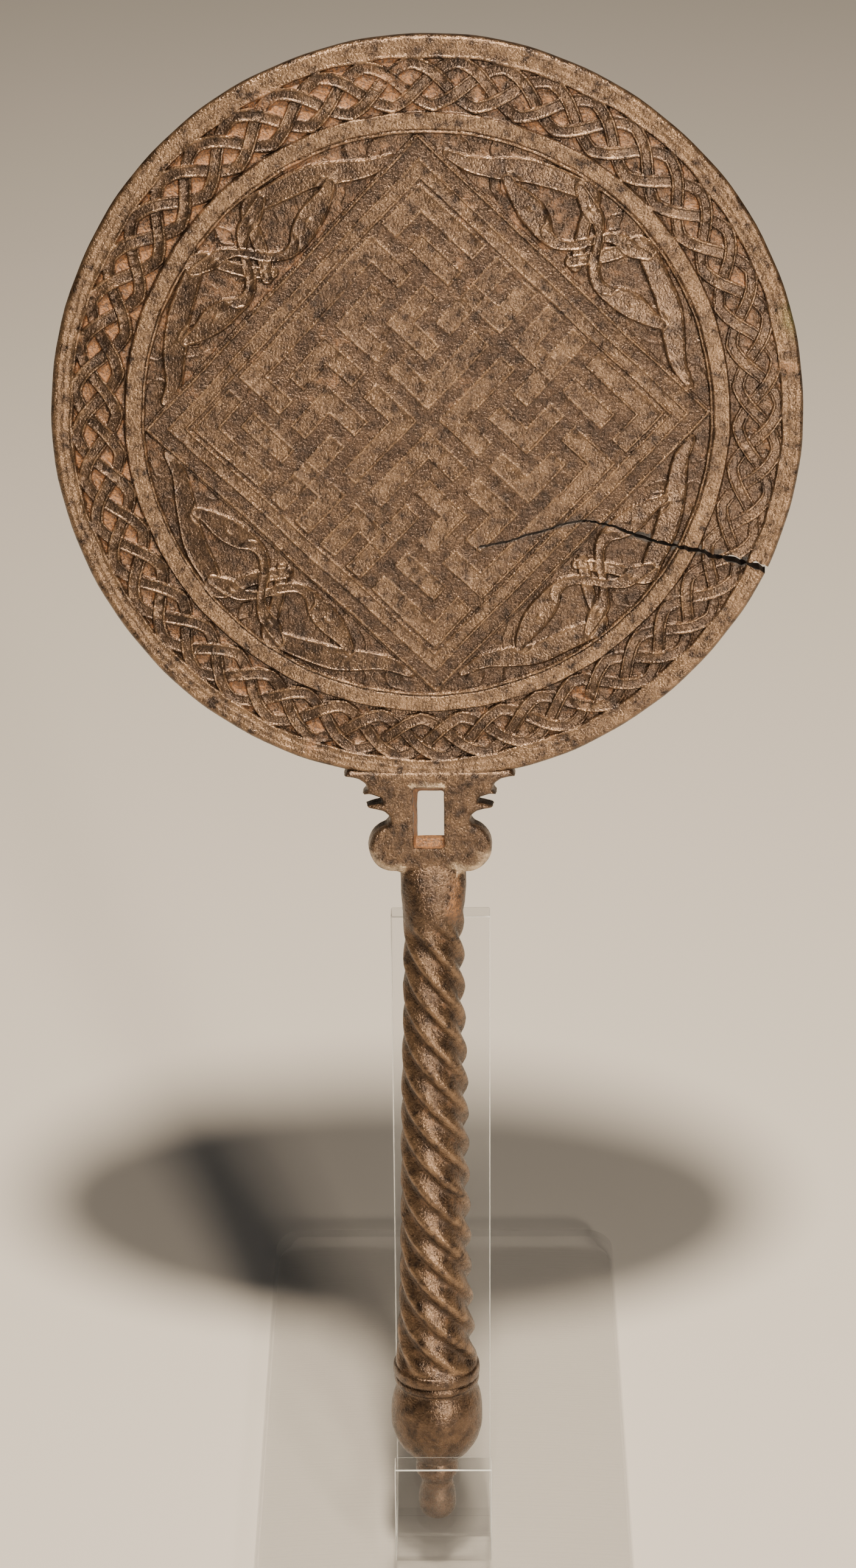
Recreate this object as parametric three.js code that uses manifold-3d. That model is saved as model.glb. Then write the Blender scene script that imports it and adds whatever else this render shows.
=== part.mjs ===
// Handled bronze mirror, one casting, standing in a bent strip of clear acrylic on a clear foot.
// Millimetres, +Z up, the ornamented back of the mirror faces -Y, the polished side faces +Y.
import * as THREE from 'three';
import { mergeVertices } from 'three/addons/utils/BufferGeometryUtils.js';
import Module from 'manifold-3d';

const wasm = await Module();
wasm.setup();

const { PI, sin, cos, abs, min, max, sqrt } = Math;
const degrees = PI / 180;

// ---- Driving dimensions -------------------------------------------------------------------
// The mirror is drawn lying flat: x to the right, y up along the handle, z out of the ornamented
// face, the disc's middle at the origin and the plain ground of its ornament at z = 0.
const mirrorLean = 15 * degrees; // how far the standing mirror tips back
const ornamentTurn = 1.5 * degrees; // the ornament sits a little twisted against the handle

const disc = { radius: 65, sides: 56, back: -3.2, bevel: 0.7, rimTop: 0.45, rimInner: 61.5 };
const border = { ground: -0.7, inner: 52.6 }; // sunk ring that holds the knotwork
const band = { inner: 49.4, outer: 52.2, top: 0.25 }; // plain raised ring inside the knotwork

const plait = {
  strands: 3,
  periods: 16,
  middle: 57,
  reach: 3.2, // from the middle of the border to a strap's turning point
  width: 1.9,
  top: 0.1,
  root: 0.4,
};

const frameLines = { outer: 34.15, middle: 31.5, inner: 29.5, width: 0.6, height: 0.25 };
const strokes = { pitch: 6, width: 3, height: 0.2, root: 0.3 };
const serpent = { height: 0.3, root: 0.4, wall: 0.2, bodySteps: 7, headSteps: 7 };

const crack = { run: [[27, -17.8], [31, -18.6], [40, -21.5], [49, -23.5], [68, -29]], depth: 4,
  rimGap: 1.1, tipGap: 0.3 };

const bracket = { front: 0.6, back: -3.9, bevel: 0.8, lobeRadius: 4.7, lobeX: 6.6, lobeY: -78 };
const slot = { left: -3, right: 2.5, top: -66.4, bottom: -77.9, topSlope: 2, leftSlope: 0.9 };

const handle = { x: 0.5, z: -2.4, end: -216 }; // the axis runs a little behind the disc's face
const flutes = { count: 6, samples: 4, lead: 37.8, depth: 1, top: -89, steps: 23 };
const pommel = { radius: 8.8, y: -194, sides: 16 };

const stand = { width: 18.4, thick: 4.6, aside: 1.2, top: -94, restRadius: 5.8 };
const hook = { height: 18.5, bend: 6.5, play: 0.5, bendSteps: 5 };
const foot = { width: 74, thick: 5, ahead: 18, behind: 92, corner: 6, cornerSteps: 4 };
const seatGap = 0.3; // left between pieces that touch

// ---- Solids -------------------------------------------------------------------------------
// Any closed geometry as a solid whose faces look outwards.
function toSolid(geometry) {
  const bare = geometry.clone();
  bare.deleteAttribute('normal');
  bare.deleteAttribute('uv');
  const merged = mergeVertices(bare, 1e-4);
  const points = merged.attributes.position;
  const index = Array.from(merged.index.array);
  const corner = (n) => new THREE.Vector3().fromBufferAttribute(points, index[n]);
  let volume = 0;
  for (let i = 0; i < index.length; i += 3) {
    volume += corner(i).dot(corner(i + 1).cross(corner(i + 2)));
  }
  return new wasm.Manifold(new wasm.Mesh({
    numProp: 3,
    vertProperties: new Float32Array(points.array),
    triVerts: new Uint32Array(volume < 0 ? index.reverse() : index),
  }));
}

function toGeometry(solid) {
  const mesh = solid.getMesh();
  const geometry = new THREE.BufferGeometry();
  geometry.setAttribute('position', new THREE.BufferAttribute(mesh.vertProperties, 3));
  geometry.setIndex(new THREE.BufferAttribute(mesh.triVerts, 1));
  geometry.computeVertexNormals();
  return geometry;
}

const join = (geometries) => geometries.map(toSolid).reduce((whole, solid) => whole.add(solid));

// A closed body through rings of points; each ring is one convex section.
function skin(rings, closed = false) {
  const count = rings[0].length;
  const index = [];
  const spans = closed ? rings.length : rings.length - 1;
  for (let i = 0; i < spans; i += 1) {
    const here = i * count;
    const next = ((i + 1) % rings.length) * count;
    for (let j = 0; j < count; j += 1) {
      const k = (j + 1) % count;
      index.push(here + j, next + j, next + k, here + j, next + k, here + k);
    }
  }
  if (!closed) {
    const last = (rings.length - 1) * count;
    for (let j = 1; j < count - 1; j += 1) {
      index.push(0, j, j + 1, last, last + j + 1, last + j);
    }
  }
  const geometry = new THREE.BufferGeometry();
  const positions = rings.flat().flatMap((p) => [p.x, p.y, p.z]);
  geometry.setAttribute('position', new THREE.Float32BufferAttribute(positions, 3));
  geometry.setIndex(index);
  return geometry;
}

// A raised strap along a path; each station holds x, y, the crown's height and its width.
function strap(stations, slope, base, closed = false) {
  const count = stations.length;
  const at = (i) => stations[closed ? (i + count) % count : min(max(i, 0), count - 1)];
  const side = (p, q) => new THREE.Vector2(p.y - q.y, q.x - p.x).normalize();
  const rings = stations.map((here, i) => {
    const first = !closed && i === 0;
    const last = !closed && i === count - 1;
    const before = side(first ? here : at(i - 1), first ? at(i + 1) : here);
    const after = last ? before : side(here, at(i + 1));
    const normal = before.clone().add(after).normalize();
    const stretch = 1 / max(normal.dot(before), 0.6);
    const point = (offset, z) => new THREE.Vector3(
      here.x + normal.x * offset * stretch, here.y + normal.y * offset * stretch, z);
    const crown = here.width / 2;
    return [point(crown + slope, base), point(crown, here.top),
      point(-crown, here.top), point(-crown - slope, base)];
  });
  return skin(rings, closed);
}

const block = (x, y, z, dx, dy, dz) => new THREE.BoxGeometry(dx, dy, dz).translate(x, y, z);

const path = (points) => points.map(([x, y]) => new THREE.Vector2(x, y));

// ---- Disc ---------------------------------------------------------------------------------
function discBody() {
  const { radius, sides, back, bevel, rimTop, rimInner } = disc;
  const profile = path([
    [0, back],
    [radius, back],
    [radius, rimTop - bevel],
    [radius - bevel, rimTop],
    [rimInner + 0.3, rimTop],
    [rimInner, border.ground],
    [border.inner, border.ground],
    [band.outer, band.top],
    [band.inner, band.top],
    [band.inner - 0.3, 0],
    [0, 0],
  ]);
  return new THREE.LatheGeometry(profile, sides).rotateX(PI / 2);
}

// Three straps that swing from edge to edge of the border and cross on the way.
function knotwork() {
  const { strands, periods, middle, reach, width, top, root } = plait;
  return [...Array(strands).keys()].map((strand) => {
    const stations = [];
    for (let step = 0; step < periods * 2; step += 1) {
      const angle = (step / 2 + strand / strands) * (2 * PI / periods);
      const radius = middle + (step % 2 ? reach : -reach);
      stations.push({ x: radius * sin(angle), y: radius * cos(angle), top, width });
    }
    return strap(stations, 0, border.ground - root, true);
  });
}

// ---- Diamond field ------------------------------------------------------------------------
function squareLine(half) {
  const { width, height } = frameLines;
  const stations = [[-1, -1], [1, -1], [1, 1], [-1, 1]].map(
    ([x, y]) => ({ x: x * half, y: y * half, top: height, width: width * 0.6 }));
  return strap(stations, width * 0.2, -0.5, true);
}

// One quarter of the field: every stroke is a run of stops on a grid of bars.
const quarterStrokes = [
  [[-0.5, 4], [2, 4], [2, 3]],
  [[3, 4], [4, 4], [4, 2]],
  [[1, 3], [0, 3], [0, 2]],
  [[3, 3], [3, 2]],
  [[2, 2], [1, 2], [1, 1]],
  [[0, 1], [0, 0], [2, 0]],
  [[2, 1], [4, 1]],
  [[3, 1], [3, 0], [4, 0]],
];

function fieldStrokes() {
  const { pitch, width, height, root } = strokes;
  const mirrored = [[1, 1], [-1, 1], [-1, -1], [1, -1]];
  return mirrored.flatMap(([flipX, flipY]) => quarterStrokes.map((stops) => {
    const run = path(stops).map((stop) => stop.addScalar(0.5).multiplyScalar(pitch));
    const last = run.length - 1;
    const lengthen = (end, next) => end.clone().sub(next).setLength(width / 2).add(end);
    const [start, end] = [lengthen(run[0], run[1]), lengthen(run[last], run[last - 1])];
    const stations = [start, ...run.slice(1, last), end].map(
      ({ x, y }) => ({ x: flipX * x, y: flipY * y, top: height, width }));
    return strap(stations, 0, -root);
  }));
}

// ---- Serpents in the four corners between diamond and ring ----------------------------------
// First number along the diamond's side, second outwards from the disc's middle, third the width.
const serpentBody = [
  [-28.4, 35.2, 1.4], [-24.6, 36.6, 2.6], [-20.6, 39.6, 3.6], [-16.6, 42.6, 3.8], [-12.6, 44.6, 3.6],
  [-9, 46, 3.2], [-6.4, 47, 2.8], [-4.7, 45.6, 2.3], [-3.6, 42.8, 2], [-1.8, 39.8, 2], [0.6, 36.4, 1.8],
];
const serpentHead = [
  [-18.2, 39.4, 1.5], [-16, 38.7, 2.6], [-12.6, 38.2, 4.2], [-9.4, 37.6, 4], [-6.6, 36.8, 2.4],
  [-4.2, 37.2, 1.7], [-0.6, 41.4, 1.4], [0.9, 43.4, 1.4], [3, 44.9, 2.4], [5.4, 45.3, 2.6], [8.2, 46.4, 1.4],
];

function serpentBand(stops, steps) {
  const { height, wall, root } = serpent;
  const curve = new THREE.CatmullRomCurve3(stops.map((stop) => new THREE.Vector3(...stop)));
  return strap(curve.getPoints(steps).map(({ x, y, z }) => ({ x, y, top: height, width: z })), wall, -root);
}

function serpentPair() {
  const rungs = [0, 1].map((n) => (
    block(0, 0, 0, 2.6, 0.8, 2 * serpent.height).rotateZ(-45 * degrees).translate(n - 0.9, 36.9 + 2 * n, 0)));
  const half = [serpentBand(serpentBody, serpent.bodySteps), serpentBand(serpentHead, serpent.headSteps)];
  return [...rungs, ...half, ...half.map((geometry) => geometry.clone().scale(-1, 1, 1))];
}

function ornament() {
  const frames = [frameLines.outer, frameLines.middle, frameLines.inner].map(squareLine);
  const corners = [0, 1, 2, 3].flatMap((corner) => (
    serpentPair().map((geometry) => geometry.rotateZ(corner * PI / 2))));
  const diamond = [...frames, ...fieldStrokes(), ...corners].map((geometry) => geometry.rotateZ(PI / 4));
  return [...knotwork(), ...diamond].map((geometry) => geometry.rotateZ(ornamentTurn));
}

// The old break: a slit that opens towards the rim, right through the disc.
function crackWedge() {
  const run = path(crack.run);
  const rings = run.map((p, i) => {
    const width = crack.tipGap + (crack.rimGap - crack.tipGap) * i / (run.length - 1);
    return [[-1, -1], [1, -1], [1, 1], [-1, 1]].map(([side, level]) => (
      new THREE.Vector3(p.x, p.y + side * width / 2, disc.back * 0.5 + level * crack.depth)));
  });
  return skin(rings).rotateZ(ornamentTurn);
}

// ---- Bracket ------------------------------------------------------------------------------
function bracketPlate() {
  const outline = new THREE.Shape()
    .moveTo(0, -60)
    .lineTo(12.5, -60)
    .lineTo(11.5, -66)
    .lineTo(8.6, -70)
    .lineTo(7.4, -72.4)
    .lineTo(8.8, -74.2)
    .absarc(bracket.lobeX, bracket.lobeY, bracket.lobeRadius, 60 * degrees, -100 * degrees, true)
    .lineTo(0, -82.6);
  const half = outline.getPoints(4);
  const otherHalf = half.slice(1, -1).reverse().map((p) => new THREE.Vector2(-p.x, p.y));
  const whole = new THREE.Shape([...half, ...otherHalf]);
  const { front, back, bevel } = bracket;
  return new THREE.ExtrudeGeometry(whole, {
    depth: front - back - 2 * bevel, bevelThickness: bevel, bevelSize: bevel, bevelOffset: -bevel,
    bevelSegments: 1,
  }).translate(0, 0, back + bevel);
}

// Pointed fins under the disc, one thin wedge each.
function bracketFins() {
  const fins = [
    [[9, -62], [15.6, -64.6], [14.8, -61.6]], // hook that curls off the rim
    [[6, -65.6], [12.1, -68.3], [11.4, -65.2], [6, -64]],
    [[6, -70.6], [9.6, -71.2], [11.8, -69.8], [6, -68.6]],
  ];
  return [1, -1].flatMap((flip) => fins.map((fin) => {
    const shape = new THREE.Shape(path(fin));
    const depth = bracket.front - bracket.back - 1.2;
    return new THREE.ExtrudeGeometry(shape, { depth, bevelEnabled: false })
      .translate(0, 0, bracket.back + 0.6).scale(flip, 1, 1);
  }));
}

// The rectangular window, wider at the front, cut clean through the bracket.
function slotCut() {
  const { left, right, top, bottom, topSlope, leftSlope } = slot;
  const ring = (depth, z) => [[left + leftSlope * depth, bottom], [right, bottom],
    [right, top - topSlope * depth], [left + leftSlope * depth, top - topSlope * depth]]
    .map(([x, y]) => new THREE.Vector3(x, y, z));
  const { front, back } = bracket;
  const past = 0.5;
  return skin([ring(-past / (front - back), front + past), ring(1 + past / (front - back), back - past)]);
}

// ---- Handle -------------------------------------------------------------------------------
// Half width and half depth of the plain neck where the shaft grows out of the bracket.
const neckStations = [
  [-78.6, 5, 1.9], [-80.5, 5.7, 3.3], [-83, 6, 4.8], [-86, 6, 5.7], [-89, 5.8, 5.8],
];

// The shaft thickens on its way down: how far along it, and its radius there.
const shaftSwell = new THREE.SplineCurve(path([
  [-89, 5.8], [-100, 5.7], [-112, 5.9], [-124, 6.3], [-145, 6.6], [-165, 7], [-178, 7.6], [-182.4, 8],
]));

// The shaft's lobes wind round like the strands of a rope.
function shaft() {
  const { count, samples, lead, depth, top, steps } = flutes;
  const around = count * samples;
  const rings = neckStations.map(([y, wide, deep]) => [...Array(around).keys()].map((n) => {
    const angle = n / around * 2 * PI;
    return new THREE.Vector3(wide * sin(angle), y, deep * cos(angle));
  }));
  for (let step = 1; step <= steps; step += 1) {
    const { x: y, y: thickness } = shaftSwell.getPointAt(step / steps);
    const swell = min(1, step / 2, (steps - step) / 1.5);
    const turn = (top - y) / lead * 2 * PI;
    rings.push([...Array(around).keys()].map((n) => {
      const lobe = sqrt(abs(cos(n / samples * PI)));
      const radius = thickness - depth * swell * (1 - lobe);
      const angle = turn + n / around * 2 * PI;
      return new THREE.Vector3(radius * sin(angle), y, radius * cos(angle));
    }));
  }
  return skin(rings);
}

// Collar, ball and the small baluster that ends the handle.
function pommelBody() {
  const profile = path([
    [0, -181.9], [8.2, -182.2], [8.3, -184.3], [7.7, -186.4], [8.4, -189.8],
    [8.8, -193], [8.6, -196], [7.6, -199], [6, -201.2], [3.6, -203.1],
    [4.2, -204.8], [4, -206.2], [3.1, -207.8], [3.7, -211.5], [3.4, -214.2],
    [2, -215.7], [0, handle.end],
  ]);
  return new THREE.LatheGeometry(profile, pommel.sides);
}

function mirrorMesh() {
  const handleParts = [shaft(), pommelBody()].map((part) => part.translate(handle.x, 0, handle.z));
  const solid = join([discBody(), ...ornament()])
    .add(join([bracketPlate(), ...bracketFins()]).subtract(toSolid(slotCut())))
    .add(join(handleParts))
    .subtract(toSolid(crackWedge()));
  const bronze = new THREE.MeshStandardMaterial({ color: 0x4a382a, roughness: 0.55, metalness: 0.85 });
  return named('mirror', new THREE.Mesh(toGeometry(solid), bronze));
}

// ---- Stand --------------------------------------------------------------------------------
// The strip is drawn from the side: x forwards and y up along its front face, with zero in the
// inner corner above the heel.
const acrylic = new THREE.MeshStandardMaterial({
  color: 0xe6ebe8, roughness: 0.08, metalness: 0, transparent: true, opacity: 0.35 });

const restLength = pommel.y - stand.top; // between the ball and the strip's upper end
const slack = Math.atan((stand.restRadius - pommel.radius) / restLength); // strip against handle
const stripLean = mirrorLean - slack;
const axisDepth = pommel.radius + seatGap + (pommel.y - handle.end) * sin(slack);
const hookDepth = pommel.radius * 2 + hook.play;
const stripLength = (stand.top - handle.end) * cos(slack);

function cradleMesh() {
  const { width, thick } = stand;
  const { height, bend, bendSteps } = hook;
  const outer = hookDepth + thick;
  const inside = bend - thick;
  const outline = new THREE.Shape()
    .moveTo(0, stripLength)
    .lineTo(-thick, stripLength)
    .absarc(inside, inside, bend, PI, 1.5 * PI, false)
    .absarc(outer - bend, inside, bend, 1.5 * PI, 2 * PI, false)
    .lineTo(outer, height)
    .lineTo(hookDepth, height)
    .absarc(outer - bend, inside, inside, 2 * PI, 1.5 * PI, true)
    .absarc(inside, inside, inside, 1.5 * PI, PI, true);
  const options = { depth: width, bevelEnabled: false, curveSegments: bendSteps };
  const strip = new THREE.ExtrudeGeometry(outline, options).translate(0, 0, -width / 2);
  return named('stand_cradle', new THREE.Mesh(strip.applyMatrix4(sideways), acrylic));
}

const sideways = new THREE.Matrix4().makeBasis(
  new THREE.Vector3(0, -1, 0), new THREE.Vector3(0, 0, 1), new THREE.Vector3(-1, 0, 0));

// A plate with rounded corners; a slanted block on it carries the tray of the strip.
function footMesh(heel) {
  const { width, thick, ahead, behind, corner, cornerSteps } = foot;
  const [side, front, back] = [width / 2 - corner, -ahead + corner, behind - corner];
  const outline = new THREE.Shape()
    .absarc(side, back, corner, 0, 0.5 * PI, false)
    .absarc(-side, back, corner, 0.5 * PI, PI, false)
    .absarc(-side, front, corner, PI, 1.5 * PI, false)
    .absarc(side, front, corner, 1.5 * PI, 2 * PI, false);
  const options = { depth: thick, bevelEnabled: false, curveSegments: cornerSteps };
  const plate = new THREE.ExtrudeGeometry(outline, options);
  const under = -stand.thick - seatGap;
  const top = [hook.bend - stand.thick, hookDepth + stand.thick - hook.bend].map((x) => (
    new THREE.Vector2(heel.y - x * cos(stripLean) + under * sin(stripLean),
      heel.z + x * sin(stripLean) + under * cos(stripLean))));
  const root = thick / 2;
  const ends = [-1, 1].map((hand) => [top[0], top[1],
    { x: top[1].x, y: root }, { x: top[0].x, y: root }]
    .map((p) => new THREE.Vector3(hand * stand.width / 2, p.x, p.y)));
  return named('stand_foot', new THREE.Mesh(toGeometry(join([plate, skin(ends)])), acrylic));
}

// ---- Assembly -----------------------------------------------------------------------------
function named(name, mesh) {
  mesh.name = name;
  return mesh;
}

function assembly() {
  const { thick } = stand;
  const rise = hook.bend - (hook.bend - thick) * (sin(stripLean) + cos(stripLean));
  const heel = new THREE.Vector3(handle.x + stand.aside, 0, foot.thick + seatGap + rise);
  const tip = new THREE.Vector3(0, -axisDepth, seatGap).applyAxisAngle(new THREE.Vector3(1, 0, 0), -stripLean)
    .add(heel);

  const mirror = mirrorMesh();
  mirror.rotation.x = PI / 2 - mirrorLean;
  const tipInMirror = new THREE.Vector3(handle.x, handle.end, handle.z).applyEuler(mirror.rotation);
  mirror.position.set(0, tip.y - tipInMirror.y, tip.z - tipInMirror.z);

  const cradle = cradleMesh();
  cradle.rotation.x = -stripLean;
  cradle.position.copy(heel);

  const plate = footMesh(new THREE.Vector3(0, heel.y - tip.y, heel.z));
  plate.position.set(heel.x, tip.y, 0);

  const whole = new THREE.Group().add(mirror, cradle, plate);
  const middle = new THREE.Box3().setFromObject(whole, true).getCenter(new THREE.Vector3());
  whole.position.set(-middle.x, -middle.y, 0); // origin under the middle of the whole, on the floor
  return whole;
}

export default assembly();
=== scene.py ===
from math import atan, cos, pi, radians, sin

import bmesh
import bpy
import numpy as np
from mathutils import Matrix, Vector, noise


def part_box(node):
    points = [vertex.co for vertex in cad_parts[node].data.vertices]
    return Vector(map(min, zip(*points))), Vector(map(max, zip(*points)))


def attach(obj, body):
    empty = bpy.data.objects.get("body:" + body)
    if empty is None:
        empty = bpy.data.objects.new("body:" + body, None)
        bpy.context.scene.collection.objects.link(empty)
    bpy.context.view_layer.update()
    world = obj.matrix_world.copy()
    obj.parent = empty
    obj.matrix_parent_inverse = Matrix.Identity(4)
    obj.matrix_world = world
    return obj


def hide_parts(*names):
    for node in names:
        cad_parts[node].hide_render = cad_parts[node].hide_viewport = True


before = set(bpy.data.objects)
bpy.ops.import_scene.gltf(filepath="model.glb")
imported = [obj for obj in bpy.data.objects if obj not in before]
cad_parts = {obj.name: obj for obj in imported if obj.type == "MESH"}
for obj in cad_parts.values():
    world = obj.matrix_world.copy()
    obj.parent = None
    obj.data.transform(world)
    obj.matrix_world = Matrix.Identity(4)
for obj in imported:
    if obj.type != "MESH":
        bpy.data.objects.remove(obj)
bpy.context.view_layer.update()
chance = np.random.default_rng(11)
mm = 0.001

# The mirror is worked lying flat, in millimetres: x right, y up along the handle, z out of the
# ornamented face, zero in the middle of the disc. standUp puts it where the frame has it.
pose = {
    "lean": 15,
    "radius": 65,
    "back": -3.2,
    "edge": -0.25,
}
leanCos, leanSin = cos(radians(pose["lean"])), sin(radians(pose["lean"]))
mirrorLow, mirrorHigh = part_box("mirror")
standUp = Matrix.Translation((
    (mirrorLow.x + mirrorHigh.x) / 2,
    mirrorHigh.y - mm * (pose["radius"] * leanSin - pose["back"] * leanCos),
    mirrorHigh.z - mm * (pose["radius"] * leanCos + pose["edge"] * leanSin),
)) @ Matrix.Rotation(radians(90 - pose["lean"]), 4, "X")


def newMesh(name, points, triangles):
    mesh = bpy.data.meshes.new(name)
    count = len(triangles)
    mesh.vertices.add(len(points))
    mesh.vertices.foreach_set("co", np.asarray(points, np.float32).ravel())
    mesh.loops.add(count * 3)
    mesh.loops.foreach_set("vertex_index", np.asarray(triangles, np.int32).ravel())
    mesh.polygons.add(count)
    mesh.polygons.foreach_set("loop_start", np.arange(0, count * 3, 3, dtype=np.int32))
    mesh.update(calc_edges=True)
    mesh.validate()
    return mesh


def newObject(name, mesh):
    thing = bpy.data.objects.new(name, mesh)
    bpy.context.scene.collection.objects.link(thing)
    return thing


def pointsOf(mesh):
    points = np.empty(len(mesh.vertices) * 3, np.float32)
    mesh.vertices.foreach_get("co", points)
    return points.reshape(-1, 3)


def setPoints(mesh, points):
    mesh.vertices.foreach_set("co", np.asarray(points, np.float32).ravel())
    mesh.update()


def trianglesOf(mesh):
    return sum(len(face.vertices) - 2 for face in mesh.polygons)


def withModifier(thing, kind, **settings):
    modifier = thing.modifiers.new(kind.lower(), kind)
    for name, value in settings.items():
        setattr(modifier, name, value)
    seen = thing.evaluated_get(bpy.context.evaluated_depsgraph_get())
    mesh = bpy.data.meshes.new_from_object(seen)
    thing.modifiers.clear()
    old = thing.data
    thing.data = mesh
    bpy.data.meshes.remove(old)
    return thing


def thinned(thing, triangles):
    # flat parts give up their triangles first
    return withModifier(thing, "DECIMATE", ratio=min(triangles / trianglesOf(thing.data), 1))


def combine(thing, other, operation):
    withModifier(thing, "BOOLEAN", operation=operation, object=other, solver="MANIFOLD")
    bpy.data.objects.remove(other)
    return thing


def gridTriangles(rows, columns):
    # two triangles for each cell of a sheet of points
    index = np.arange(rows * columns).reshape(rows, columns)
    a, b, c, d = index[:-1, :-1], index[:-1, 1:], index[1:, 1:], index[1:, :-1]
    halves = [np.stack([a, b, c], -1), np.stack([a, c, d], -1)]
    return np.concatenate([half.reshape(-1, 3) for half in halves])


def loft(rings):
    # a closed body through round sections; each end is closed by a fan
    rings = np.asarray(rings)
    count, around = rings.shape[:2]
    index = np.arange(count * around).reshape(count, around)
    nextIndex = np.roll(index, -1, axis=1)
    a, b, c, d = index[:-1], nextIndex[:-1], nextIndex[1:], index[1:]
    sides = [np.stack([a, b, c], -1).reshape(-1, 3), np.stack([a, c, d], -1).reshape(-1, 3)]
    first, last = count * around, count * around + 1
    fans = [
        np.stack([np.full(around, first), nextIndex[0], index[0]], -1),
        np.stack([np.full(around, last), index[-1], nextIndex[-1]], -1),
    ]
    points = np.concatenate([rings.reshape(-1, 3), rings[:1].mean(1), rings[-1:].mean(1)])
    return points, np.concatenate(sides + fans)


def faceOutwards(mesh):
    work = bmesh.new()
    work.from_mesh(mesh)
    bmesh.ops.recalc_face_normals(work, faces=work.faces)
    work.to_mesh(mesh)
    work.free()
    return mesh


def outlineBody(name, rings):
    # a body whose sections are any outline, one ring over the other
    work = bmesh.new()
    rows = [[work.verts.new(point) for point in ring] for ring in rings]
    for low, high in zip(rows, rows[1:]):
        for i in range(len(low)):
            j = (i + 1) % len(low)
            work.faces.new((low[i], low[j], high[j], high[i]))
    work.faces.new(rows[0][::-1])
    work.faces.new(rows[-1])
    bmesh.ops.recalc_face_normals(work, faces=work.faces)
    mesh = bpy.data.meshes.new(name)
    work.to_mesh(mesh)
    work.free()
    return newObject(name, mesh)


def curveThrough(stops, steps):
    # smooth run of points through the stops, steps to a stretch
    stops = np.asarray(stops, float)
    padded = np.vstack([2 * stops[0] - stops[1], stops, 2 * stops[-1] - stops[-2]])
    t = np.linspace(0, 1, steps, endpoint=False)[:, None]
    run = []
    for p, q, r, s in zip(padded, padded[1:], padded[2:], padded[3:]):
        bend = p - 2.5 * q + 2 * r - s / 2
        twist = 1.5 * q - p / 2 - 1.5 * r + s / 2
        run.append(q + t * (r - p) / 2 + t ** 2 * bend + t ** 3 * twist)
    return np.vstack(run + [stops[-1:]])


def ease(low, high, value):
    t = np.clip((value - low) / (high - low), 0, 1)
    return t * t * (3 - 2 * t)


sheet = {"step": 0.1, "half": 66.0}
ticks = np.arange(-sheet["half"], sheet["half"] + sheet["step"] / 2, sheet["step"]).astype(np.float32)
sheetX, sheetY = np.meshgrid(ticks, ticks)
sheetPlace = (-sheet["half"], -sheet["half"], sheet["step"])
sheetR = np.hypot(sheetX, sheetY)
sheetTurn = np.arctan2(sheetX, sheetY)  # clockwise from the top


def cloud(cell, seed):
    # soft random swell from -1 to 1, cell is the size of one swell in millimetres
    dice = np.random.default_rng(seed)
    step = sheet["step"]
    rows, columns = [int(n * step / cell) + 3 for n in sheetX.shape]
    knots = dice.uniform(-1, 1, (rows, columns)).astype(np.float32)
    y, x = [np.arange(n, dtype=np.float32) * step / cell for n in sheetX.shape]
    yLow, xLow = y.astype(int), x.astype(int)
    yPart, xPart = ease(0, 1, y - yLow)[:, None], ease(0, 1, x - xLow)[None, :]
    top = knots[yLow][:, xLow] * (1 - xPart) + knots[yLow][:, xLow + 1] * xPart
    bottom = knots[yLow + 1][:, xLow] * (1 - xPart) + knots[yLow + 1][:, xLow + 1] * xPart
    return top * (1 - yPart) + bottom * yPart


def readSheet(values, x, y, left, low, step):
    u = np.clip((x - left) / step, 0, values.shape[1] - 1.001)
    v = np.clip((y - low) / step, 0, values.shape[0] - 1.001)
    i, j = u.astype(int), v.astype(int)
    s, t = u - i, v - j
    return ((values[j, i] * (1 - s) + values[j, i + 1] * s) * (1 - t)
            + (values[j + 1, i] * (1 - s) + values[j + 1, i + 1] * s) * t)


def distanceTo(run, reach, left, low, step, shape, marks=None):
    # how far each point of the sheet is from the run, and the mark carried by the nearest place
    away = np.full(shape, 99, np.float32)
    mark = np.zeros(shape, np.float32)
    marks = np.zeros(len(run)) if marks is None else marks
    for (x1, y1), (x2, y2), m1, m2 in zip(run, run[1:], marks, marks[1:]):
        i1 = max(int((min(x1, x2) - reach - left) / step), 0)
        i2 = min(int((max(x1, x2) + reach - left) / step) + 2, shape[1])
        j1 = max(int((min(y1, y2) - reach - low) / step), 0)
        j2 = min(int((max(y1, y2) + reach - low) / step) + 2, shape[0])
        if i1 >= i2 or j1 >= j2:
            continue
        x = left + np.arange(i1, i2) * step
        y = (low + np.arange(j1, j2) * step)[:, None]
        dx, dy = x2 - x1, y2 - y1
        t = np.clip(((x - x1) * dx + (y - y1) * dy) / max(dx * dx + dy * dy, 1e-9), 0, 1)
        d = np.hypot(x - x1 - t * dx, y - y1 - t * dy)
        part = away[j1:j2, i1:i2]
        nearer = d < part
        part[nearer] = d[nearer]
        mark[j1:j2, i1:i2][nearer] = (m1 + (m2 - m1) * t)[nearer]
    return away, mark


def thread(away, width, height):
    # a thin raised line, round on top
    return height * (1 - ease(width * 0.25, width * 0.75, np.abs(away)))


def laid(height, line):
    # a thread laid on the ground; it changes nothing beside itself
    return np.where(line > 0.01, np.maximum(height, line), height)


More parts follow.
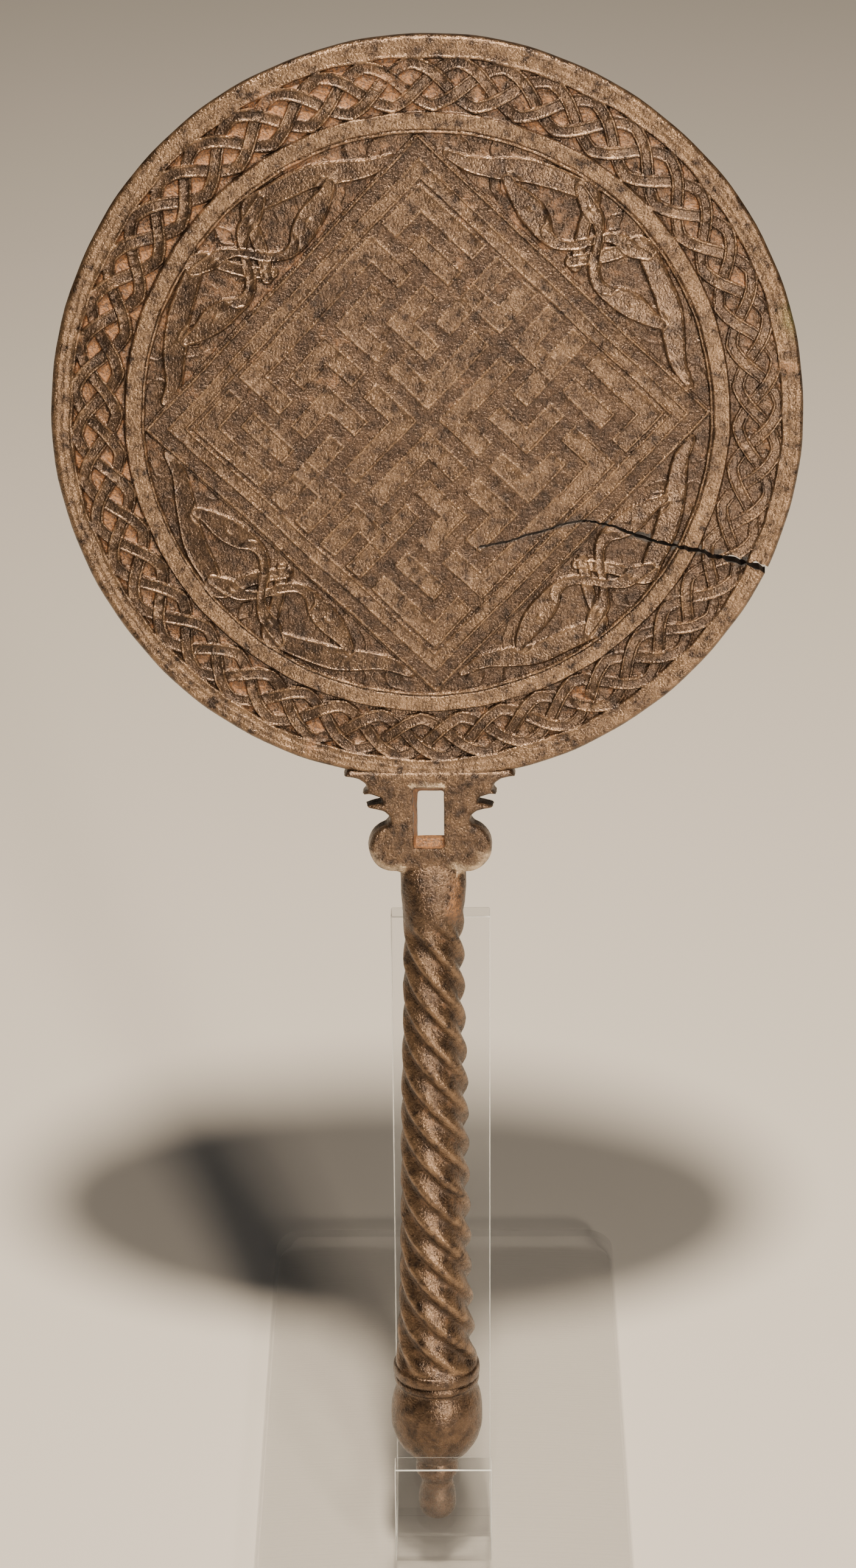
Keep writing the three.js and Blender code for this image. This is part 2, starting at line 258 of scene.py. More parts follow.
plait = {
    "strands": 3,
    "periods": 16,
    "middle": 57.0,
    "reach": 3.55,
    "sharpness": 1.15,  # over 1 the straps run straight between their turns
    "width": 2.2,
    "slope": 0.32,
    "over": 0.16,
    "under": -0.2,
    "ground": -0.52,
    "steps": 26,
    "edge": 0.2,  # the straps' rims stand a little over their middles
    "rimIn": 0.24,
    "rimWidth": 0.4,
}


def plaitRelief():
    steps = plait["steps"]
    heights = []
    stops = np.array([0, 1 / 6, 1 / 3, 0.5, 2 / 3, 5 / 6, 1])
    levels = np.array([0, plait["over"], plait["under"], 0, plait["over"], plait["under"], 0])
    for strand in range(plait["strands"]):
        place = np.arange(plait["periods"] * steps + 1) / steps
        swing = 1 - 4 * np.abs((place % 1) - 0.5)
        swing = np.tanh(swing * plait["sharpness"] * 1.15) / np.tanh(plait["sharpness"] * 1.15)
        radius = plait["middle"] + plait["reach"] * swing
        radius += 0.25 * np.sin(place * 2.1 + strand) * np.sin(place * 0.7)
        turn = (place + strand / plait["strands"]) * 2 * pi / plait["periods"] + radians(ornamentTurn)
        run = np.stack([radius * np.sin(turn), radius * np.cos(turn)], -1)
        away, phase = distanceTo(run, 2.0, *sheetPlace, sheetX.shape, marks=place)
        level = np.interp(phase % 1, stops, levels)
        half = plait["width"] / 2
        crown = thread(away - half + plait["rimIn"], plait["rimWidth"], plait["edge"]) - 0.3 * plait["edge"]
        drop = ease(half - 0.12, half - 0.12 + plait["slope"], away)
        heights.append((level + crown) * (1 - drop) + plait["ground"] * drop)
    return np.maximum.reduce(heights)


ornamentTurn = 1.5  # degrees that the ornament is twisted against the handle

field = {
    "sides": (34.15, 31.6, 29.5),
    "pitch": 6.0,
    "bar": 3.1,
    "thread": 0.4,
    "threadHeight": 0.25,
    "barHeight": 0.05,
    "end": 34.8,  # beyond it the corners begin
}

# one quarter of the diamond: each bar is a run of stops, mirrored both ways; they spell nothing
quarterBars = [
    [(-0.5, 4), (2, 4), (2, 3)],
    [(3, 4), (4, 4), (4, 2)],
    [(1, 3), (0, 3), (0, 2)],
    [(3, 3), (3, 2)],
    [(2, 2), (1, 2), (1, 1)],
    [(0, 1), (0, 0), (2, 0)],
    [(2, 1), (4, 1)],
    [(3, 1), (3, 0), (4, 0)],
]


def fieldRelief(p, q):
    # heights of the diamond, and where it is smooth
    p = p + 0.22 * cloud(9, 3)
    q = q + 0.22 * cloud(9, 4)
    away = np.maximum(np.abs(p), np.abs(q))
    kept = 0.66 + 0.34 * ease(-0.5, 0.1, cloud(6, 5) + 0.4 * cloud(2.5, 6))  # worn lines fade
    relief = np.zeros_like(p)
    smooth = np.zeros_like(p)
    outer, middle, inner = field["sides"]
    for side in field["sides"]:
        strength = 1.3 if side == outer else 1
        line = thread(away - side, field["thread"], field["threadHeight"] * strength)
        relief = np.maximum(relief, line * kept)
    frameBar = 1 - ease(0, 0.3, np.abs(away - (middle + inner) / 2) - (middle - inner) / 2)
    relief += field["barHeight"] * frameBar
    smooth = np.maximum(smooth, frameBar)
    x, y = np.abs(p), np.abs(q)
    half = field["bar"] / 2
    for stops in quarterBars:
        run = (np.array(stops, float) + 0.5) * field["pitch"]
        inside = np.full(p.shape, 99, np.float32)
        for (x1, y1), (x2, y2) in zip(run, run[1:]):
            box = np.maximum(
                np.abs(x - (x1 + x2) / 2) - abs(x2 - x1) / 2 - half,
                np.abs(y - (y1 + y2) / 2) - abs(y2 - y1) / 2 - half)
            inside = np.minimum(inside, box)
        cover = (1 - ease(-0.1, 0.1, inside)) * (away < inner)
        bar = thread(inside, field["thread"], field["threadHeight"]) * kept * (away < inner)
        relief = np.maximum(relief, np.maximum(bar, field["barHeight"] * cover))
        smooth = np.maximum(smooth, cover)
    smooth = np.maximum(smooth, ease(0.03, 0.09, relief))
    return relief, smooth


# paired serpents in the corners; first number along the diamond's side, second outwards,
# third the width there
corner = {
    "step": 0.1,
    "left": -40.0,
    "low": 33.0,
    "shape": (200, 801),
    "ground": -0.3,
    "body": 0.08,
    "line": 0.26,
}
serpentBands = [
    [(-28.4, 35.2, 1.4), (-24.6, 36.6, 2.6), (-20.6, 39.6, 3.6), (-16.6, 42.6, 3.8), (-12.6, 44.6, 3.6),
     (-9, 46, 3.2), (-6.4, 47, 2.8), (-4.7, 45.6, 2.3), (-3.6, 42.8, 2), (-1.8, 39.8, 2), (0.6, 36.4, 1.8)],
    [(-18.2, 39.4, 1.5), (-16, 38.7, 2.6), (-12.6, 38.2, 4.2), (-9.4, 37.6, 4), (-6.6, 36.8, 2.4),
     (-4.2, 37.2, 1.7), (-2, 39.2, 1.6), (-0.6, 41.4, 1.4), (0.9, 43.4, 1.4), (3, 44.9, 2.4),
     (5.4, 45.3, 2.6), (8.2, 46.4, 1.4)],
]
serpentLines = [
    [(-14.8, 40), (-16.6, 41), (-18.6, 40.6), (-18.9, 38.9), (-17.6, 37.4), (-15.9, 37.2)],
    [(-8.2, 38.6), (-7.9, 37), (-6.7, 36.2)],
    [(-24.4, 42.3), (-23.8, 40.8), (-22.6, 40.2)],
    [(-30, 38.2), (-28, 39.2), (-26, 38.4), (-26.2, 37)],
    [(-20.2, 37.4), (-18.8, 36.2), (-17, 35.6)],
    [(-8.9, 46.6), (-8.6, 48), (-7.2, 48.9)],
    [(-13.8, 47), (-12.4, 48), (-11.2, 47.6)],
    [(-21, 43.6), (-19.4, 45.2), (-17.6, 45.6)],
    [(-0.2, 44.6), (-1.2, 46.4), (0, 48.8)],
]
serpentBars = [
    [(-12.2, 41.9), (-11.4, 40.4)], [(-10.3, 42.6), (-9.4, 40.8)], [(-8.5, 43.2), (-7.7, 41.2)],
    [(-6.7, 42.4), (-5.6, 41)],
]
ladderBars = [[(-1.9, 37.2), (-0.5, 35.5)], [(-1, 38.9), (0.8, 36.8)], [(0.1, 40.3), (1.7, 38.5)],
              [(1.1, 41.6), (2.5, 40.2)]]
serpentEyes = [(-11.6, 38.2), (-4.4, 44.2), (-28.3, 36.6), (4.4, 45.2)]


def cornerRelief():
    place = (corner["left"], corner["low"], corner["step"], corner["shape"])
    bodies = np.zeros(corner["shape"], np.float32)
    lines = np.zeros(corner["shape"], np.float32)
    for band in serpentBands:
        for hand in (1, -1):
            # a band laid later covers what it crosses
            run = curveThrough(band, 8) * (hand, 1, 1)
            away, width = distanceTo(run[:, :2], 3.2, *place, marks=run[:, 2])
            cover = 1 - ease(-0.15, 0.15, away - width / 2)
            bodies = np.maximum(bodies, cover)
            lines = np.maximum(lines * (1 - cover), thread(away - width / 2, 0.38, 1))
    eyes = [[(x - 0.35, y), (x + 0.35, y + 0.1)] for x, y in serpentEyes]
    # what is drawn, how wide and how high
    details = [
        (serpentLines, 0.36, 0.8),
        (serpentBars, 0.36, 0.45),
        (ladderBars, 0.4, 0.45),
        (eyes, 0.7, 0.8),
    ]
    for group, width, tall in details:
        for stops in group:
            for hand in (1, -1):
                away = distanceTo(curveThrough(stops, 6) * (hand, 1), 1.5, *place)[0]
                lines = np.maximum(lines, thread(away, width, tall))
    return bodies, lines


# the plain ring round the corners: where it begins and ends, and its lines
ring = {
    "inner": 49.2,
    "outer": 52.0,
    "slope": 0.4,
    "height": 0.22,
    "lip": 0.06,
    "line": (49.0, 0.45, 0.3),  # radius, width, height
}

# old dirt in the border: turn from the top, how far it reaches, how deep
buriedParts = [
    (1.75, 0.8, 0.65),
    (0.15, 0.5, 0.5),
]

rim = {
    "inner": 61.4,
    "top": 0.42,
    "threads": ((62.6, 0.5, 0.1), (63.7, 0.4, 0.07)),  # radius, width, height
    "wander": 0.16,
}

crack = {
    "run": [(27, -17.8), (31, -18.6), (40, -21.5), (49, -23.5), (59.5, -26.4), (68, -29)],
    "opening": [0.28, 0.45, 0.65, 0.9, 1.2, 1.35],
    "hairline": [(27, -17.8), (23.5, -18.4), (20, -19.7), (17, -20.4), (14, -21.5), (9, -22.4)],
    "ragged": 0.3,
    "slant": 0.17,  # the broken walls run upwards towards the back
}

crusts = [
    # where on the border, how large, how high: hard growths of corrosion
    (299, 56.5, 3.4, 0.42),
    (303, 59.4, 2.2, 0.3),
    (292, 61.5, 2.2, 0.25),
    (250, 60, 4.5, 0.2),
    (235, 57, 4.0, 0.16),
    (118, 60.5, 4.0, 0.2),
    (96, 57.0, 5.0, 0.14),
    (8, 61.5, 3.0, 0.14),
]


def discRelief():
    # heights over the disc, and how rusty and sandy each place is, how worn it is with painted highlight and
    # shade, and where painted shade lies along the hairline
    turn = radians(45 + ornamentTurn)
    p = sheetX * cos(turn) + sheetY * sin(turn)
    q = -sheetX * sin(turn) + sheetY * cos(turn)
    height = np.zeros_like(sheetX)
    smooth = np.ones_like(sheetX)
    wander = sum(
        np.sin(sheetTurn * n + shift) * size
        for n, shift, size in ((5, 0.4, 0.5), (13, 2.2, 0.4), (29, 1.1, 0.3), (47, 4.0, 0.25)))

    diamond = np.maximum(np.abs(p), np.abs(q))
    fieldHeight, bars = fieldRelief(p, q)
    height = np.where(diamond < field["end"], fieldHeight, corner["ground"])
    smooth = np.where(diamond < field["end"], bars, smooth)

    bodies, lines = cornerRelief()
    for across, out, seed in ((p, q, 21), (-q, p, 22), (-p, -q, 23), (q, -p, 24)):
        here = (out > field["end"]) & (np.abs(across) <= out) & (sheetR < ring["inner"])
        x = across[here] + 0.5 * cloud(7, seed)[here]
        y = out[here] + 0.3 * cloud(6, seed + 10)[here]
        fade = 0.85 + 0.25 * cloud(12, seed + 20)[here]
        place = (corner["left"], corner["low"], corner["step"])
        body = readSheet(bodies, x, y, *place)
        line = readSheet(lines, x, y, *place)
        level = corner["ground"] + (corner["body"] - corner["ground"]) * body
        height[here] = np.maximum(height[here], level + corner["line"] * line * fade)
        smooth[here] = np.maximum(body, 0.6 * line)

    away = sheetR + 0.12 * wander
    lineRadius, lineWidth, lineHeight = ring["line"]
    height = laid(height, thread(away - lineRadius, lineWidth, lineHeight))
    inBorder = ease(ring["outer"], ring["outer"] + ring["slope"], away)
    band = ease(ring["inner"], ring["inner"] + ring["slope"], away) * (1 - inBorder)
    lip = ring["lip"] * ease(ring["outer"] - 0.8, ring["outer"] - 0.1, away)
    ringTop = ring["height"] * band + lip * band
    height = np.where(away > ring["inner"], ringTop, height)

    # dirt half fills the border at the right and at the top
    buried = sum(
        deep * np.exp(-((sheetTurn - turned) / reach) ** 2) for turned, reach, deep in buriedParts)
    dirt = 0.46 * buried * (0.8 + 0.45 * cloud(5, 61)) + 0.07 * cloud(1.1, 62) * (0.3 + buried)
    knots = np.maximum(plaitRelief(), plait["ground"] + dirt)
    height = np.where(away > ring["outer"], height * (1 - inBorder) + knots * inBorder, height)
    rimWave = away + rim["wander"] * wander
    toRim = ease(rim["inner"] - 0.35, rim["inner"] + 0.15, rimWave)
    rimTop = rim["top"] * (0.45 + 0.55 * ease(61.5, 64.5, sheetR))
    for radius, width, tall in rim["threads"]:
        rimTop = rimTop + thread(rimWave - radius, width, tall) * (1 - 0.8 * buried)
    height = height * (1 - toRim) + rimTop * toRim
    height = laid(height, thread(rimWave - rim["inner"], 0.5, 0.3) * (away > 60))

    hair = distanceTo(np.array(crack["hairline"]), 2, *sheetPlace, sheetX.shape)[0]
    height -= thread(hair, 0.3, 0.4)

    rough = np.zeros_like(height)
    for angle, radius, size, tall in crusts:
        x, y = radius * cos(radians(angle)), radius * sin(radians(angle))
        spot = np.exp(-((sheetX - x) ** 2 + (sheetY - y) ** 2) / size ** 2 * 1.4)
        rough = np.maximum(rough, spot)
        height += tall * spot * (cloud(0.9, 31) * 0.9 + cloud(0.45, 32) * 0.5)
    hollow = ease(52.2, 53, away) * (1 - ease(60.6, 61.4, away)) * (1 - ease(-0.5, -0.1, height))
    height += 0.03 * cloud(13, 41)
    height += hollow * (0.1 * cloud(1.3, 43) + 0.08)

    # rust gathers in the sunk border, most of all towards the top left
    upper = 0.5 + 0.5 * np.cos(sheetTurn + radians(28))
    border = ease(51.6, 53, away) * (1 - ease(60.5, 62.5, away))
    patchy = 0.5 + 0.5 * (cloud(5, 51) * 0.6 + cloud(1.6, 52) * 0.5)
    rust = border * (0.28 + 0.72 * upper ** 1.2) * (0.55 + 0.55 * hollow) * (0.35 + patchy)
    rust += 0.25 * ease(0.1, 0.8, cloud(6, 53) * 0.6 + cloud(2.2, 54) * 0.6) * (0.3 + 0.7 * upper)
    rust += 0.55 * rough
    inCorner = (diamond > field["end"]) & (sheetR < ring["inner"])
    rust += np.where(inCorner, 0.34, 0.16) * (1 - smooth) * (0.35 + 0.65 * upper) * (0.4 + patchy)
    straps = border * ease(-0.45, -0.1, height)
    rust = rust * (1 - 0.6 * straps)
    lifted = ease(0.03, 0.22, height)
    inside = sheetR < ring["inner"]
    # raised lines and bars are painted lighter, partly wear and partly painted highlight; along the hairline
    # they are painted darker as painted shade
    wear_and_highlight = 0.14 + 0.8 * lifted + 0.16 * cloud(5, 55) + 0.14 * cloud(2, 56)
    wear_and_highlight += np.where(inside, 0.3 * smooth * (1 - inCorner), 0) - thread(hair, 0.7, 1)
    sandy = np.where(inside, 1 - 0.45 * smooth, 0.55) * np.where(inCorner, 0.6 - 0.3 * smooth, 1)
    sandy += 0.3 * hollow
    sandy = np.maximum(sandy * (1 - 0.4 * straps), rough)
    # the hairline groove carries painted shade
    return height, {"rust": rust, "wear_and_highlight": wear_and_highlight, "sandy": sandy, "crack_shade": 0.8 * thread(hair, 0.45, 1)}


discCast = {
    "grid": 1001,
    "triangles": 158000,
    "edgeWear": 0.3,
    "sideSteps": (-0.7, -1.5, -2.3, -2.9),
    # the polished side, from its edge inwards: share of the radius and level
    "mirrorSide": ((0.993, -3.15), (0.985, -3.2), (0.96, -3.17), (0.9, -3.1), (0.8, -3.0),
                   (0.66, -2.88), (0.5, -2.78), (0.34, -2.7), (0.18, -2.66), (0.06, -2.65)),
}


def castDisc(relief):
    # a square sheet of points bent into a round one
    n = discCast["grid"]
    t = np.linspace(-1, 1, n)
    a, b = np.meshgrid(t, t)
    wide = np.abs(a) > np.abs(b)
    reach = np.where(wide, a, b)
    with np.errstate(divide="ignore", invalid="ignore"):
        angle = np.where(wide, pi / 4 * b / a, pi / 2 - pi / 4 * a / b)
    angle = np.nan_to_num(angle)
    x, y = reach * np.cos(angle), reach * np.sin(angle)
    turn = np.arctan2(y, x)
    ragged = np.sin(turn * 7 + 1) * 0.5 + np.sin(turn * 17) * 0.3 + np.sin(turn * 41 + 2) * 0.2
    ragged = 0.5 + 0.5 * ragged
    size = pose["radius"] - 0.04 - discCast["edgeWear"] * ragged * np.abs(reach) ** 8
    x, y = x * size, y * size
    radius = np.hypot(x, y)
    z = readSheet(relief, x, y, *sheetPlace)
    fall = np.clip((radius - (size - 0.75)) / 0.75, 0, 1)
    z = z - 0.7 * fall ** 2 - 0.12 * (1 - (radius / 60) ** 2).clip(0, 1)
    front = np.stack([x, y, z], -1).reshape(-1, 3)
    index = np.arange(n * n).reshape(n, n)
    edge = np.concatenate([index[0, :-1], index[:-1, -1], index[-1, :0:-1], index[:0:-1, 0]])
    rim = front[edge]
    rings = []
    for level in discCast["sideSteps"]:
        rings.append(np.stack([rim[:, 0], rim[:, 1], np.full(len(rim), level)], -1))
    for share, level in discCast["mirrorSide"]:
        rings.append(np.stack([rim[:, 0] * share, rim[:, 1] * share, np.full(len(rim), level)], -1))
    count = len(rim)
    start = len(front)
    points = np.vstack([front] + rings + [np.array([[0, 0, discCast["mirrorSide"][-1][1]]])])
    rows = [edge] + [start + i * count + np.arange(count) for i in range(len(rings))]
    triangles = [gridTriangles(n, n)]
    for upper, lower in zip(rows, rows[1:]):
        upperNext, lowerNext = np.roll(upper, -1), np.roll(lower, -1)
        triangles.append(np.stack([upper, lower, lowerNext], -1))
        triangles.append(np.stack([upper, lowerNext, upperNext], -1))
    last = rows[-1]
    triangles.append(np.stack([last, np.full(count, len(points) - 1), np.roll(last, -1)], -1))
    mesh = newMesh("castDisc", points, np.concatenate(triangles))
    return thinned(newObject("castDisc", faceOutwards(mesh)), discCast["triangles"])


handle = {
    "x": 0.5,
    "z": -2.4,
    "around": 96,
    "lobes": 6,
    "lead": 37.8,
    "depth": 1.3,
    "skew": 0.8,  # each lobe's lower flank is steeper than its upper one
    "triangles": 24000,
    # level along the handle, half width, half depth
    "neck": [(-76.5, 4.2, 0.9), (-78.6, 5, 1.7), (-80.5, 5.6, 2.7), (-83, 6, 3.9), (-86, 6, 5),
             (-89, 5.8, 5.8)],
    # level and radius
    "swell": [(-89, 5.8), (-93, 5.65), (-100, 5.7), (-112, 5.9), (-124, 6.3), (-145, 6.6),
              (-165, 7), (-178, 7.6), (-182.3, 7.9)],
    "foot": [(-182.4, 8.1), (-182.9, 8.3), (-184.2, 8.3), (-184.7, 7.9), (-185.1, 8.1), (-185.9, 8.1),
             (-186.5, 7.65), (-187.4, 7.75), (-189, 8.3), (-191, 8.68), (-193.4, 8.8), (-195.6, 8.66),
             (-198.2, 7.9), (-200.6, 6.4), (-202.4, 4.5), (-203.1, 3.7), (-203.7, 3.9), (-204.9, 4.2),
             (-206.2, 3.95), (-207.4, 3.15), (-208.6, 3.1), (-210, 3.45), (-211.6, 3.7), (-213.6, 3.55),
             (-215.1, 2.7), (-215.8, 1.5), (-216, 0.7)],
}


def grain(points, size, seed):
    return np.array([noise.noise(Vector((x / size + seed, y / size, z / size))) for x, y, z in points])


def ropeLobe(turns):
    # 1 on a lobe's crest, 0 in the groove between two
    place = (turns * handle["lobes"] + pi) % (2 * pi) - pi
    place = place + handle["skew"] * np.cos(place / 2)
    return (0.5 + 0.5 * np.cos(place)) ** 0.75


def sectionRing(turns, twist, radius, y):
    bent = turns + twist
    return np.stack([radius * np.sin(bent), np.full(len(turns), y), radius * np.cos(bent)], -1)


def castHandle():
    around = handle["around"]
    turns = np.arange(around) / around * 2 * pi
    rings = []
    neck = curveThrough(handle["neck"], 5)[:-1]
    for y, wide, deep in neck:
        rings.append(np.stack([wide * np.sin(turns), np.full(around, y), deep * np.cos(turns)], -1))
    top, bottom = handle["swell"][0][0], handle["swell"][-1][0]
    levels = np.linspace(top, bottom, 190)
    swell = curveThrough(handle["swell"], 12)
    for y in levels:
        thick = np.interp(-y, -swell[:, 0], swell[:, 1])
        twist = (top - y) / handle["lead"] * 2 * pi
        # the flutes start later on the left, where the smooth neck reaches further down
        start = ease(0, 5.5, top - y + 1.5 * np.sin(turns + twist) - 1)
        grown = start * ease(0, 2.2, y - bottom)
        used = 0.8 + 0.2 * np.sin(turns + twist)  # more worn on the left
        radius = thick - handle["depth"] * grown * used * (1 - ropeLobe(turns))
        rings.append(sectionRing(turns, twist, radius, y))
    for y, radius in curveThrough(handle["foot"], 3):
        rings.append(sectionRing(turns, (top - bottom) / handle["lead"] * 2 * pi, radius, y))
    points, triangles = loft(rings)
    outwards = points * (1, 0, 1)
    outwards /= np.maximum(np.linalg.norm(outwards, axis=1, keepdims=True), 1e-6)
    swelling = 0.1 * grain(points, 3.2, 2) + 0.05 * grain(points, 1.1, 7) - 0.06
    points = points + outwards * swelling[:, None] * (points[:, 1:2] > -213)
    points = points + (handle["x"], 0, handle["z"])
    cast = newObject("castHandle", faceOutwards(newMesh("castHandle", points, triangles)))
    return thinned(cast, handle["triangles"])


bracket = {
    "front": 0.6,
    "back": -3.9,
    # right half of the outline, from the disc down to the round lobe
    "half": [(0, -60), (13.4, -60.5), (15.2, -63.6), (15.6, -64.6), (14.2, -64.8), (12.9, -65.1),
             (11.8, -65.9), (11.4, -66.8), (12.3, -67.9), (10.8, -68), (8.8, -68.6), (8.6, -69.2),
             (10.2, -69.6), (11.9, -70.2), (10.2, -70.8), (8.4, -71.2), (7.6, -71.9), (7.4, -72.7)],
    "lobe": (6.6, -78, 4.7),
    "slot": (-3.1, 2.5, -66.3, -77.9),
    "voxel": 0.24,
    "triangles": 10000,
}


def insetOutline(outline, amount):
    ahead = np.roll(outline, -1, axis=0) - outline
    behind = outline - np.roll(outline, 1, axis=0)
    normal = np.stack([-(ahead + behind)[:, 1], (ahead + behind)[:, 0]], -1)
    normal /= np.linalg.norm(normal, axis=1, keepdims=True)
    return outline + normal * np.asarray(amount).reshape(-1, 1)


def castBracket():
    x, y, radius = bracket["lobe"]
    turns = np.radians(np.linspace(72, -96, 22))
    half = bracket["half"] + [(x + radius * cos(t), y + radius * sin(t)) for t in turns]
    half += [(5.4, -83), (0, -83)]
    other = [(-x, y) for x, y in half[-2:0:-1]]
    outline = np.array(half + other)[::-1]
    deepen = 0.5 + 0.8 * ease(75, 82, -outline[:, 1])
    rings = []
    back, front = bracket["back"], bracket["front"]
    sides = ((back, 0.5, 0), (back + 0.6, 0, 0), (-0.35, 0.25, 0), (0.25, 0.25, 0.45), (front, 0.25, 1))
    for level, inset, slope in sides:
        flat = insetOutline(outline, inset + slope * deepen)
        rings.append([(px, py, level) for px, py in flat])
    plate = outlineBody("castBracket", rings)
    left, right, top, bottom = bracket["slot"]
    sections = []
    for depth, level in ((-0.2, 1.5), (0, 0.6), (0.5, -1.65), (1, -3.9), (1.1, -4.6)):
        l, t = left + 0.9 * depth, top - 2 * depth
        sections.append([(l, bottom, level), (right, bottom, level), (right, t, level), (l, t, level)])
    combine(plate, outlineBody("slot", sections), "DIFFERENCE")
    withModifier(plate, "REMESH", mode="VOXEL", voxel_size=bracket["voxel"])
    withModifier(plate, "SMOOTH", factor=0.5, iterations=3)
    points = pointsOf(plate.data)
    shift = np.stack([grain(points, 2.4, 3), grain(points, 2.4, 5), grain(points, 2.0, 8)], -1)
    points = points + shift * (0.08, 0.08, 0.12)
    # its upper end dives under the disc's rim, so that the rim runs on over it
    points[:, 2] -= 1.4 * ease(-64, -62.3, points[:, 1]) * ease(-1.2, 0.1, points[:, 2])
    setPoints(plate.data, points)
    withModifier(plate, "TRIANGULATE")
    return thinned(plate, bracket["triangles"])


def crackCutter():
    # the old break, a little ragged, open towards the rim
    stops = np.array(crack["run"], float)
    run = curveThrough(stops, 13)
    opening = np.interp(run[:, 0], stops[:, 0], crack["opening"])
    jag = chance.uniform(-1, 1, (2, len(run))) * crack["ragged"]
    shared = np.cumsum(chance.uniform(-0.12, 0.12, len(run)))
    shared -= np.linspace(0, shared[-1], len(run))
    upper = np.stack([run[:, 0], run[:, 1] + shared + opening / 2 + jag[0] * opening], -1)
    lower = np.stack([run[:, 0], run[:, 1] + shared - opening / 2 + jag[1] * opening], -1)
    outline = np.vstack([upper, lower[::-1]])
    levels = []
    for level in (-6, -0.4, 4):
        levels.append([(x, y + crack["slant"] * max(-level, 0), level) for x, y in outline])
    return outlineBody("crackCutter", levels)


class Finish:
    # small helper that lays nodes for one material
    def __init__(self, name):
        self.material = bpy.data.materials.new(name)
        self.material.use_nodes = True
        self.tree = self.material.node_tree
        self.shader = self.tree.nodes["Principled BSDF"]
        self.place = self.add("ShaderNodeTexCoord").outputs["Object"]

    def add(self, kind, **settings):
        made = self.tree.nodes.new(kind)
        for name, value in settings.items():
            setattr(made, name, value)
        return made

    def feed(self, socket, value):
        if isinstance(value, bpy.types.NodeSocket):
            self.tree.links.new(value, socket)
        else:
            socket.default_value = value

    def grain(self, scale, detail=4.0, roughness=0.6, place=None):
        made = self.add("ShaderNodeTexNoise")
        self.feed(made.inputs["Vector"], place or self.place)
        self.feed(made.inputs["Scale"], scale)
        self.feed(made.inputs["Detail"], detail)
        self.feed(made.inputs["Roughness"], roughness)
        return made.outputs["Fac"]

    def cells(self, scale):
        made = self.add("ShaderNodeTexVoronoi")
        self.feed(made.inputs["Vector"], self.place)
        self.feed(made.inputs["Scale"], scale)
        return made.outputs["Distance"]

    def spread(self, value, low, high, toLow=0.0, toHigh=1.0):
        made = self.add("ShaderNodeMapRange")
        self.feed(made.inputs["Value"], value)
        for name, number in (("From Min", low), ("From Max", high), ("To Min", toLow), ("To Max", toHigh)):
            self.feed(made.inputs[name], number)
        return made.outputs["Result"]

    def sums(self, operation, a, b):
        made = self.add("ShaderNodeMath", operation=operation)
        self.feed(made.inputs[0], a)
        self.feed(made.inputs[1], b)
        return made.outputs[0]

    def mixColor(self, share, a, b):
        made = self.add("ShaderNodeMix", data_type="RGBA")
        self.feed(made.inputs["Factor"], share)
        for socket, value in ((made.inputs[6], a), (made.inputs[7], b)):
            self.feed(socket, value if isinstance(value, bpy.types.NodeSocket) else (*value, 1))
        return made.outputs[2]

    def painted(self, name):
        return self.add("ShaderNodeAttribute", attribute_name=name).outputs["Fac"]

    def bump(self, height, distance, strength=1.0, normal=None):
        made = self.add("ShaderNodeBump")
        self.feed(made.inputs["Height"], height)
        self.feed(made.inputs["Distance"], distance)
        self.feed(made.inputs["Strength"], strength)
        if normal is not None:
            self.feed(made.inputs["Normal"], normal)
        return made.outputs["Normal"]

    def set(self, **values):
        for name, value in values.items():
            self.feed(self.shader.inputs[name.replace("_", " ")], value)
        return self.material


bronzeLook = {
    "dark": (0.026, 0.0145, 0.0085),
    "brown": (0.072, 0.041, 0.023),
    "tan": (0.24, 0.15, 0.084),
    # cream of worn edges, which also carries painted reflection
    "edge_wear_and_reflection": (0.6, 0.45, 0.29),
    "rust": (0.34, 0.14, 0.032),
    "rustDeep": (0.075, 0.03, 0.009),
    # near black for the painted shade in the break
    "crack_shade": (0.008, 0.006, 0.005),
    "olive": (0.16, 0.15, 0.05),
    "sandScale": 2500,
    "blotchScale": 480,
    "broadScale": 75,
    "pitScale": 950,
    "metal": 0.78,
    "gloss": 2.0,
}


